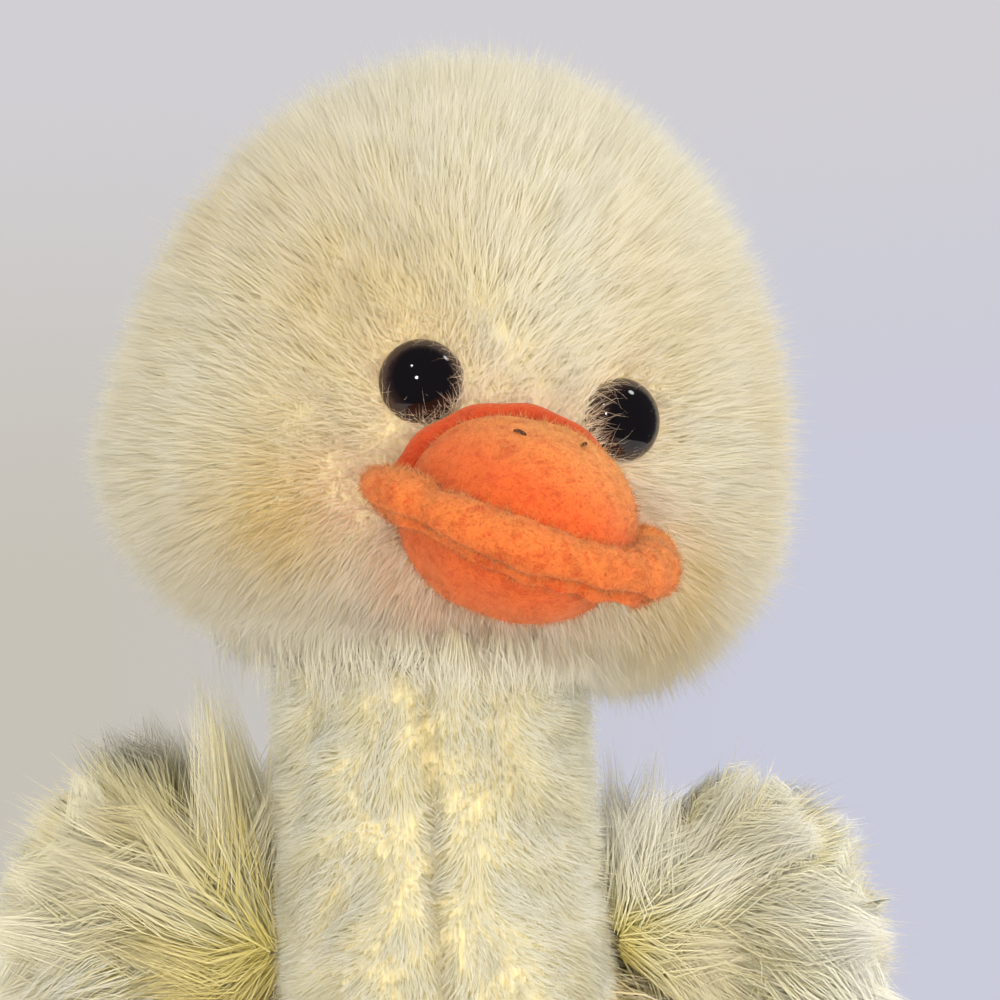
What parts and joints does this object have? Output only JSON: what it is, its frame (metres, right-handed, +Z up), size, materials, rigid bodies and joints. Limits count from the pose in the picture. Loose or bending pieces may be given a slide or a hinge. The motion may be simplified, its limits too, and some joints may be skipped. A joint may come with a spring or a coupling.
{
  "type": "plush duck",
  "caption": "Sitting plush duck with a long neck, a head turned to one side, shaggy wings, webbed feet and a rolled bill.",
  "frame": {"origin": "middle of the seat, on the surface that the duck sits on", "axes": "+Z up, the duck's breast faces -Y, its left side is +X"},
  "size_m": [0.2048, 0.2298, 0.3229],
  "materials": {
    "plush": "long cream pile",
    "shag": "shaggy cream pile, yellow at its roots",
    "bill": "brushed orange fleece",
    "seat_cloth": "short cream pile",
    "filling": "polyester wadding",
    "eye": "polished black, dark brown rim",
    "washer": "moulded, toothed hole"
  },
  "bodies": {
    "body": {"body_cover": "plush", "body_stuffing": "filling", "seat_panel": "seat_cloth", "pellet_bag": "filling"},
    "neck": {"neck_panel_left": "plush", "neck_panel_right": "plush", "neck_stuffing": "filling"},
    "head": {"head_cover": "plush", "head_stuffing": "filling", "eye_left": "eye", "eye_right": "eye", "eye_washer_left": "washer", "eye_washer_right": "washer", "bill_upper": "bill", "bill_lip": "bill", "bill_lower": "bill"},
    "wing_left": {"wing_left": "shag"},
    "wing_right": {"wing_right": "shag"},
    "foot_left": {"foot_left": "bill"},
    "foot_right": {"foot_right": "bill"},
    "tail": {"tail": "shag"}
  },
  "joints": [
    {"name": "neck_lean", "type": "hinge", "parent": "body", "child": "neck", "pos_m": [0, 0, 0.13], "axis": [1, 0, 0], "range_deg": [-6, 10], "stiffness_Nm_per_rad": 0.8},
    {"name": "head_turn", "type": "hinge", "parent": "neck", "child": "head", "pos_m": [0, 0, 0.213], "axis": [0, 0, 1], "range_deg": [-51, 19], "stiffness_Nm_per_rad": 0.3},
    {"name": "wing_left_swing", "type": "hinge", "parent": "body", "child": "wing_left", "pos_m": [0.04469, 0.018, 0.14791], "axis": [-0.4586, 0, 0.8887], "range_deg": [-35, 25], "stiffness_Nm_per_rad": 0.1},
    {"name": "wing_right_swing", "type": "hinge", "parent": "body", "child": "wing_right", "pos_m": [-0.04469, 0.018, 0.14791], "axis": [0.4586, 0, 0.8887], "range_deg": [-25, 35], "stiffness_Nm_per_rad": 0.1},
    {"name": "foot_left_lift", "type": "hinge", "parent": "body", "child": "foot_left", "pos_m": [0.03443, -0.04965, 0.0052], "axis": [-0.8552, -0.5183, 0], "range_deg": [0, 22], "stiffness_Nm_per_rad": 0.15},
    {"name": "foot_right_lift", "type": "hinge", "parent": "body", "child": "foot_right", "pos_m": [-0.03443, -0.04965, 0.0052], "axis": [-0.8552, 0.5183, 0], "range_deg": [0, 22], "stiffness_Nm_per_rad": 0.15},
    {"name": "tail_lift", "type": "hinge", "parent": "body", "child": "tail", "pos_m": [0, 0.07372, 0.04437], "axis": [1, 0, 0], "range_deg": [-15, 16], "stiffness_Nm_per_rad": 0.1}
  ]
}
